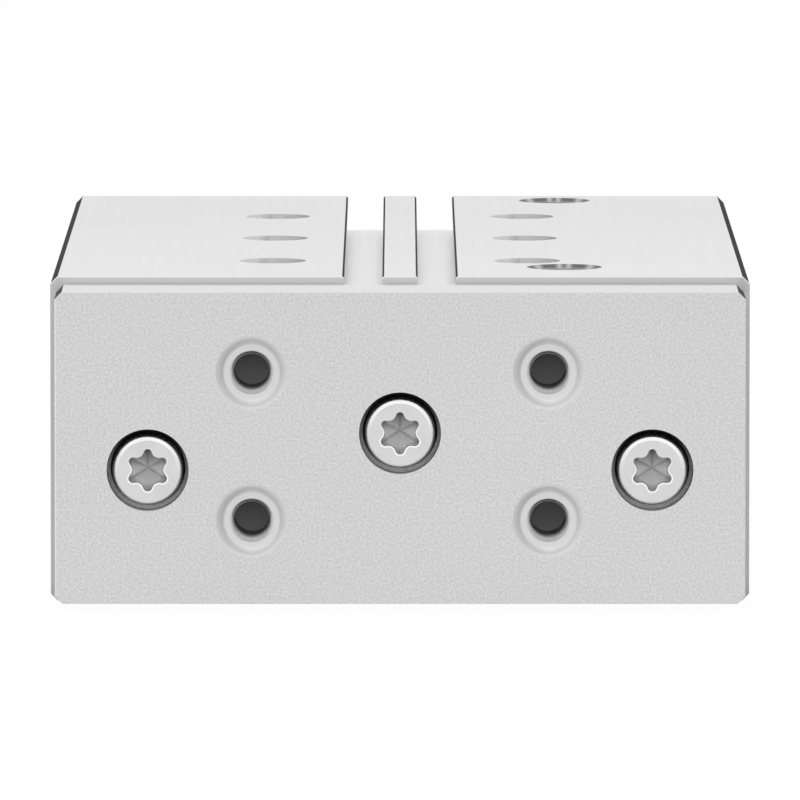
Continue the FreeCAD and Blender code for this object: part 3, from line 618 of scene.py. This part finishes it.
def blasted_yoke():
    finish, tree, shader = new_finish("blasted_yoke", specular_ior_level=0.0)
    place = where(tree)
    noise = speckle(tree, GRAIN_SIZE, GRAIN_DETAIL)
    grain, faint = spread(tree, noise, (0.87, 1.13)), spread(tree, noise, FAINT)
    clouds = spread(tree, speckle(tree, 0.03), (0.99, 1.01))
    colour = tapped_holes(tree, grey(tree, PLATE_GREY, grain, clouds), grain, clouds)
    colour = counterbores(tree, colour, grain)
    upward = above(tree, facing(tree)["Z"], UPWARD)
    milled = both(tree, upward, above(tree, place["Z"], plate_high.z - MILLED_BAND))
    colour = painted(tree, colour, milled, grey(tree, MILLED_GREY, faint, clouds))
    # painted highlight: a thin light line along the plate's left edge
    left_edge_highlight = both(tree, facing_along(tree), below(tree, place["X"], plate_low.x + LEFT_EDGE_WIDTH))
    colour = painted(tree, colour, left_edge_highlight, grey(tree, LEFT_EDGE_HIGHLIGHT_GREY, grain))
    # painted reflection: the broken edges are nearly black
    edges = slanted_edges(tree, plate_low, plate_high)
    colour = painted(tree, colour, edges, grey(tree, PLATE_EDGE_REFLECTION_GREY, grain))
    coat(tree, shader, colour, spread(tree, speckle(tree, 0.0004), (0.5, 0.6)))
    tree.links.new(graded(tree, PLATE_METAL, edges, 0.0), shader.inputs["Metallic"])
    strength = graded(tree, 1.0, milled, MILLED_RELIEF)
    bump(tree, shader, speckle(tree, 0.00025, 3.0), depth=0.00003, strength=strength)
    return finish


finishes["blasted_yoke"] = blasted_yoke()
print("finishes:", list(finishes))

# %% [markdown]
# ## Turned, ground and phosphated metal
# The caps and the piston are turned, so their tool marks run in rings: noise read from the distance
# to the cylinder's axis. A ring-shaped texture round each piece would do as well, but all of them share
# that axis. Rods are ground between centres, which leaves fine lines round them, noise stretched
# across Y. Both are greyer than they first seem, because a rod mirrors the white room. Circlips are
# phosphated, dark and dull, with the speckle of small crystals.

# %% Turned aluminium
TURNED_GREY = (0.56, 0.56, 0.57)
MARKS_PER_METRE = 5000.0


def turned_aluminium():
    finish, tree, shader = new_finish("turned_aluminium", metallic=0.9)
    place = where(tree)
    _, axis_z = SCREW_AXES[0]
    reach = reach_of(tree, place["X"], less(tree, place["Z"], axis_z))
    ring = put(tree, "ShaderNodeCombineXYZ", {0: reach, 1: place["Y"]}).outputs[0]
    inputs = {"Vector": ring, "Scale": MARKS_PER_METRE, "Detail": 2.0}
    marks = put(tree, "ShaderNodeTexNoise", inputs).outputs["Fac"]
    shade = spread(tree, marks, (0.92, 1.06))
    clouds = spread(tree, speckle(tree, 0.01), FAINT)
    coat(tree, shader, tint(tree, TURNED_GREY, shade, clouds), spread(tree, marks, (0.26, 0.4)))
    bump(tree, shader, marks, depth=0.000015)
    return finish


finishes["turned_aluminium"] = turned_aluminium()
print("finishes:", list(finishes))

# %% Ground and phosphated steel
GROUND_GREY = (0.50, 0.50, 0.51)
PHOSPHATE_GREY = (0.15, 0.15, 0.16)


def ground_steel():
    finish, tree, shader = new_finish("ground_steel", metallic=1.0)
    lines = speckle(tree, 0.00012, stretch=(60, 1, 60))
    shade = spread(tree, lines, (0.93, 1.06))
    clouds = spread(tree, speckle(tree, 0.012), (0.98, 1.02))
    coat(tree, shader, tint(tree, GROUND_GREY, shade, clouds), spread(tree, lines, (0.12, 0.24)))
    bump(tree, shader, lines, depth=0.000002)
    return finish


def spring_steel():
    finish, tree, shader = new_finish("spring_steel", metallic=0.7)
    crystals = speckle(tree, 0.00025, 4.0)
    shade = spread(tree, crystals, (0.8, 1.25))
    clouds = spread(tree, speckle(tree, 0.004), (0.85, 1.15))
    coat(tree, shader, tint(tree, PHOSPHATE_GREY, shade, clouds), spread(tree, crystals, (0.42, 0.6)))
    bump(tree, shader, crystals, depth=0.00001)
    return finish


finishes["ground_steel"] = ground_steel()
finishes["spring_steel"] = spring_steel()
print("finishes:", list(finishes))

# %% [markdown]
# ## Plated screws
# The screws are zinc plated and bright, and a painted highlight lightens the rounded shoulder of the
# head above its axis. The six-lobed socket is pressed in. A painted highlight runs round its rim,
# widest at the bottom, just inside it the chamfer is painted darker below the axis, and the dull floor
# carries painted shade, darker towards the top, the lobes and along a valley to each lobe. The rim
# follows the socket's own outline, six small circles for the lobes and six larger ones for the hollows
# between them, so the same circles draw it here. Only a quarter of them is needed when both axes are
# taken without their sign.

# %% Outline of the socket
LOBE_CIRCLE, LOBE_RADIUS = 0.00228, 0.0005
HOLLOW_CIRCLE, HOLLOW_RADIUS = 0.003107, 0.0011068
OUTLINE_REACH = 0.00246


def clock(radius, degrees):
    turn = math.radians(degrees)
    return radius * math.sin(turn), radius * math.cos(turn), 0.0


def quarter_of(tree, flat):
    return put(tree, "ShaderNodeVectorMath", {0: flat}, operation="ABSOLUTE").outputs[0]


def from_nearest(tree, quarter, *centres):
    nearest = FAR_AWAY
    for centre in centres:
        inputs = {0: quarter, 1: centre}
        reach = put(tree, "ShaderNodeVectorMath", inputs, operation="DISTANCE").outputs["Value"]
        nearest = math_node(tree, "MINIMUM", reach, nearest)
    return nearest


def socket_rims(tree, width):
    flat = place_on_screw(tree)
    quarter = quarter_of(tree, flat)
    lobes = from_nearest(tree, quarter, clock(LOBE_CIRCLE, 0), clock(LOBE_CIRCLE, 60))
    hollows = from_nearest(tree, quarter, clock(HOLLOW_CIRCLE, 30), clock(HOLLOW_CIRCLE, 90))
    reach = put(tree, "ShaderNodeVectorMath", {0: flat}, operation="LENGTH").outputs["Value"]
    round_lobes = below(tree, lobes, math_node(tree, "ADD", width, LOBE_RADIUS))
    round_hollows = above(tree, hollows, less(tree, HOLLOW_RADIUS, width))
    return either(tree, round_lobes, both(tree, round_hollows, below(tree, reach, OUTLINE_REACH)))


print("lobes lie", LOBE_CIRCLE, "m from the middle of a socket")

# %% Valleys of the socket's floor
def socket_valleys(tree):
    flat = place_on_screw(tree)
    quarter = quarter_of(tree, flat)
    x, y, _ = clock(1.0, 30)
    slanted = put(tree, "ShaderNodeVectorMath", {0: quarter, 1: (x, -y, 0.0)}, operation="DOT_PRODUCT")
    off_slanted = unsigned(tree, slanted.outputs["Value"])
    no_lower_one = spread(tree, axes_of(tree, flat)["Y"], (0.0005, 0.0), over=(-0.0003, 0.0))
    off_upright = math_node(tree, "ADD", axes_of(tree, quarter)["X"], no_lower_one)
    return math_node(tree, "MINIMUM", off_upright, off_slanted)


print("valleys ready")

# %% Finish of the screws
HEAD_GREY, SHOULDER_SHINE, RIM_HIGHLIGHT_GREY = 0.69, 0.98, 0.95
HEAD_FACE_RADIUS, SOCKET_RADIUS = 0.004, 0.00295
SOCKET_ROUGHNESS = 0.75
RIM_DEPTH, FACE_MARGIN = 0.00012, 0.00001
head_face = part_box("piston_rod_screw")[0].y


def screw_head(tree, up, reach, fine, clouds):
    # painted highlight: the shoulder lighter above the screw's axis
    shoulder = spread(tree, up, (HEAD_GREY, SHOULDER_SHINE), over=(0.0, 0.0035))
    colour = grey(tree, 1.0, shoulder, clouds)
    face = both(tree, facing_along(tree), below(tree, reach, HEAD_FACE_RADIUS))
    colour = painted(tree, colour, face, grey(tree, HEAD_GREY, fine, clouds))
    # painted highlight round the socket's rim, widest at the bottom
    rim_width = spread(tree, up, (0.00033, 0.00018), over=(-0.0012, 0.0014))
    rim_highlight = both(tree, facing_along(tree), socket_rims(tree, rim_width))
    return painted(tree, colour, rim_highlight, grey(tree, RIM_HIGHLIGHT_GREY, fine))


def plated_screw():
    finish, tree, shader = new_finish("plated_screw", metallic=1.0)
    grain = speckle(tree, 0.0002, 3.0)
    clouds = spread(tree, speckle(tree, 0.003), FAINT)
    fine = spread(tree, grain, FAINT)
    up, depth = axes_of(tree, place_on_screw(tree))["Y"], where(tree)["Y"]
    reach = from_level_axes(tree, SCREW_AXES)
    sockets = below(tree, reach, SOCKET_RADIUS)
    rim = both(tree, sockets, within(tree, depth, head_face + FACE_MARGIN, head_face + RIM_DEPTH))
    # painted shade: the socket's chamfer darker below the axis
    rim_shade = spread(tree, up, (0.25, HEAD_GREY), over=(-0.001, 0.001))
    colour = screw_head(tree, up, reach, fine, clouds)
    colour = painted(tree, colour, rim, grey(tree, 1.0, rim_shade, clouds))
    inside = both(tree, sockets, above(tree, depth, head_face + RIM_DEPTH))
    # painted shade inside the socket: darker towards the top, towards the lobes and along the valleys
    shade = spread(tree, up, (0.88, 0.36), over=(0.0002, 0.0023))
    lobes = spread(tree, reach, (1.0, 0.72), over=(0.0020, 0.0027))
    valleys = spread(tree, socket_valleys(tree), (0.76, 1.0), over=(0.0, 0.00028))
    colour = painted(tree, colour, inside, grey(tree, 1.0, shade, lobes, valleys, fine))
    coat(tree, shader, colour, graded(tree, spread(tree, grain, (0.26, 0.36)), inside, SOCKET_ROUGHNESS))
    bump(tree, shader, grain, depth=0.000004)
    return finish


finishes["plated_screw"] = plated_screw()
print("finishes:", list(finishes))

# %% [markdown]
# ## Bronze, rubber and plastic
# Sintered bronze is pressed from powder and is full of tiny oil-filled pores, so dark specks are
# scattered on warm metal. Seals are matt black rubber with a trace of dust, piston seals and cushions
# are satin polyurethane, the magnet is moulded from powder and resin, and the wear ring is filled
# plastic. Most of them show only at the ends of the bores, but each gets its own finish. The moulded
# ones differ only in colour, grain and gloss, so one function makes all four.

# %% Finishes of bronze, rubber and plastic
BRONZE = (0.55, 0.38, 0.20)
# Colour, size of the grain, its contrast, range of roughness and depth of the relief
MOULDED = {
    "nitrile_rubber": ((0.025, 0.025, 0.025), 0.0002, 0.2, (0.55, 0.7), 0.00001),
    "polyurethane": ((0.10, 0.16, 0.30), 0.0006, 0.08, (0.3, 0.42), 0.000008),
    "bonded_magnet": ((0.05, 0.05, 0.055), 0.00015, 0.3, (0.5, 0.65), 0.00001),
    "bearing_plastic": ((0.75, 0.73, 0.68), 0.0003, 0.06, (0.45, 0.6), 0.00001),
}


def bearing_bronze():
    finish, tree, shader = new_finish("bearing_bronze", metallic=0.85)
    pores = spread(tree, speckle(tree, 0.0002, 1.0), (0.45, 1.05), over=(0.32, 0.45))
    clouds = spread(tree, speckle(tree, 0.004), (0.92, 1.08))
    gloss = spread(tree, speckle(tree, 0.0004), (0.3, 0.45))
    coat(tree, shader, tint(tree, BRONZE, pores, clouds), gloss)
    bump(tree, shader, pores, depth=0.00001)
    return finish


def moulded(name, colour, size, contrast, gloss, relief):
    finish, tree, shader = new_finish(name, metallic=0.0, ior=1.5)
    grain = speckle(tree, size, 3.0)
    clouds = spread(tree, speckle(tree, 0.005), (1 - contrast, 1 + contrast))
    shade = spread(tree, grain, (1 - contrast, 1 + contrast))
    coat(tree, shader, tint(tree, colour, shade, clouds), spread(tree, grain, gloss))
    bump(tree, shader, grain, depth=relief)
    return finish


finishes["bearing_bronze"] = bearing_bronze()
for name, recipe in MOULDED.items():
    finishes[name] = moulded(name, *recipe)
print("finishes:", len(finishes))

# %% [markdown]
# ## Dressing the solids
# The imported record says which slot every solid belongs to, so one loop dresses them all. Each solid
# keeps its mesh, which already points outwards and carries its own smooth normals.

# %% Give every solid its finish
for part in frame["record"]["subparts"]:
    solid = frame["nodes"][part["node"]]
    for slot in solid.material_slots:
        slot.material = finishes[part["material_slot"]]

# %% [markdown]
# ## Finish of the screw threads
# A tap leaves bare, dark flanks that hardly any light reaches. In the plate, whose holes point at the
# camera, the first turns at the bottom of each hole face up and are lit, so there the grey is lighter
# near the mouth. The threads of the ports lie deeper and are the darkest.

# %% Finish of the threads
PORT_THREAD_GREY, TAPPED_GREY = 0.2, 0.26
LIT_FLANK = 2.3


def cut_thread(name, level, lit_flank=1.0):
    finish, tree, shader = new_finish(name, metallic=0.8)
    grain = speckle(tree, 0.0002, 3.0)
    clouds = spread(tree, speckle(tree, 0.002), (0.92, 1.08))
    shade = spread(tree, grain, (0.9, 1.1))
    near_mouth = spread(tree, where(tree)["Y"], (1.0, 0.0), over=MOUTH)
    lit = graded(tree, 1.0, near_mouth, spread(tree, facing(tree)["Z"], (1.0, lit_flank), over=(0.1, 0.6)))
    coat(tree, shader, grey(tree, level, shade, clouds, lit), spread(tree, grain, (0.3, 0.45)))
    bump(tree, shader, grain, depth=0.000005)
    return finish


port_thread = cut_thread("port_thread", PORT_THREAD_GREY)
mount_thread = cut_thread("mount_thread", TAPPED_GREY)
plate_thread = cut_thread("plate_thread", TAPPED_GREY, LIT_FLANK)
print("finishes:", port_thread.name, mount_thread.name, plate_thread.name)

# %% [markdown]
# ## Screw threads
# The source leaves every tapped hole as a plain bore at the middle of its thread. The ridge that
# stands inwards from there is added here. A Screw modifier could wind it, but a thread is one small
# trapezium that turns about the hole's axis and climbs one pitch per turn, which is exactly what a
# spin with a step vector does. The tube it leaves is closed at both ends and its normals are
# recalculated.

# %% One ridge
STEPS_PER_TURN = 28
ROOT_OVERLAP = 0.00003
ROOT_HALF_WIDTH, CREST_HALF_WIDTH = 0.26, 0.13


def thread_ridge(bm, radius, depth, pitch, turns):
    root, crest = radius + ROOT_OVERLAP, radius - depth
    section = (
        (root, -ROOT_HALF_WIDTH),
        (root, ROOT_HALF_WIDTH),
        (crest, CREST_HALF_WIDTH),
        (crest, -CREST_HALF_WIDTH),
    )
    corners = [bm.verts.new((r, 0.0, along * pitch)) for r, along in section]
    loop = [bm.edges.new((corners[i], corners[i - 1])) for i in range(len(corners))]
    steps = int(STEPS_PER_TURN * turns)
    bmesh.ops.spin(
        bm,
        geom=corners + loop,
        cent=(0, 0, 0),
        axis=(0, 0, 1),
        dvec=(0, 0, pitch * turns / steps),
        angle=2 * math.pi * turns,
        steps=steps,
        use_merge=False,
    )
    ends = [edge for edge in bm.edges if edge.is_boundary]
    bmesh.ops.holes_fill(bm, edges=ends, sides=len(corners))


print("a ridge takes", STEPS_PER_TURN, "steps per turn")

# %% The threads of several holes as one piece
BARE_TURNS = 0.3


def threads(name, body, slot, finish, holes, radius, depth, pitch, length):
    bm = bmesh.new()
    for start, way in holes:
        hole = bmesh.new()
        thread_ridge(hole, radius, depth, pitch, length / pitch - 2 * BARE_TURNS)
        turn = Vector((0, 0, 1)).rotation_difference(Vector(way)).to_matrix().to_4x4()
        first = Vector(start) + Vector(way) * BARE_TURNS * pitch
        bmesh.ops.transform(hole, matrix=Matrix.Translation(first) @ turn, verts=hole.verts)
        ready = bpy.data.meshes.new("one_thread")
        hole.to_mesh(ready)
        hole.free()
        bm.from_mesh(ready)
        bpy.data.meshes.remove(ready)
    bmesh.ops.recalc_face_normals(bm, faces=bm.faces)
    mesh = bpy.data.meshes.new(name)
    bm.to_mesh(mesh)
    bm.free()
    mesh.materials.append(finish)
    piece = bpy.data.objects.new(name, mesh)
    bpy.context.collection.objects.link(piece)
    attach(piece, body)
    print(name, "has", len(holes), "threads,", len(mesh.polygons), "faces")


print("a thread leaves", BARE_TURNS, "of a turn bare at each end")

# %% Cut the threads
M6 = {"radius": 0.002675, "depth": 0.0002, "pitch": 0.001}
PIPE_EIGHTH = {"radius": 0.004575, "depth": 0.00029, "pitch": 0.000907}
PLATE_DEPTH, MOUNT_DEPTH, PORT_DEPTH = 0.0107, 0.012, 0.0078


def drilled(*patterns):
    return [(place, -Vector(mount["axis"])) for mount in patterns for place in hole_places(mount)]


holes = drilled(mounts["yoke_bolts"])
threads("yoke_threads", "yoke_unit", "blasted_yoke", plate_thread, holes, length=PLATE_DEPTH, **M6)

for face in ("top", "base"):
    name = face + "_threads"
    holes = drilled(mounts[face + "_bolts"], mounts[face + "_middle_bolts"])
    threads(name, "housing_unit", "anodised_housing", mount_thread, holes, length=MOUNT_DEPTH, **M6)

holes = [(mounts[name]["pos_m"], (0, 0, -1)) for name in PORTS]
threads(
    "port_threads", "housing_unit", "anodised_housing", port_thread, holes, length=PORT_DEPTH, **PIPE_EIGHTH
)
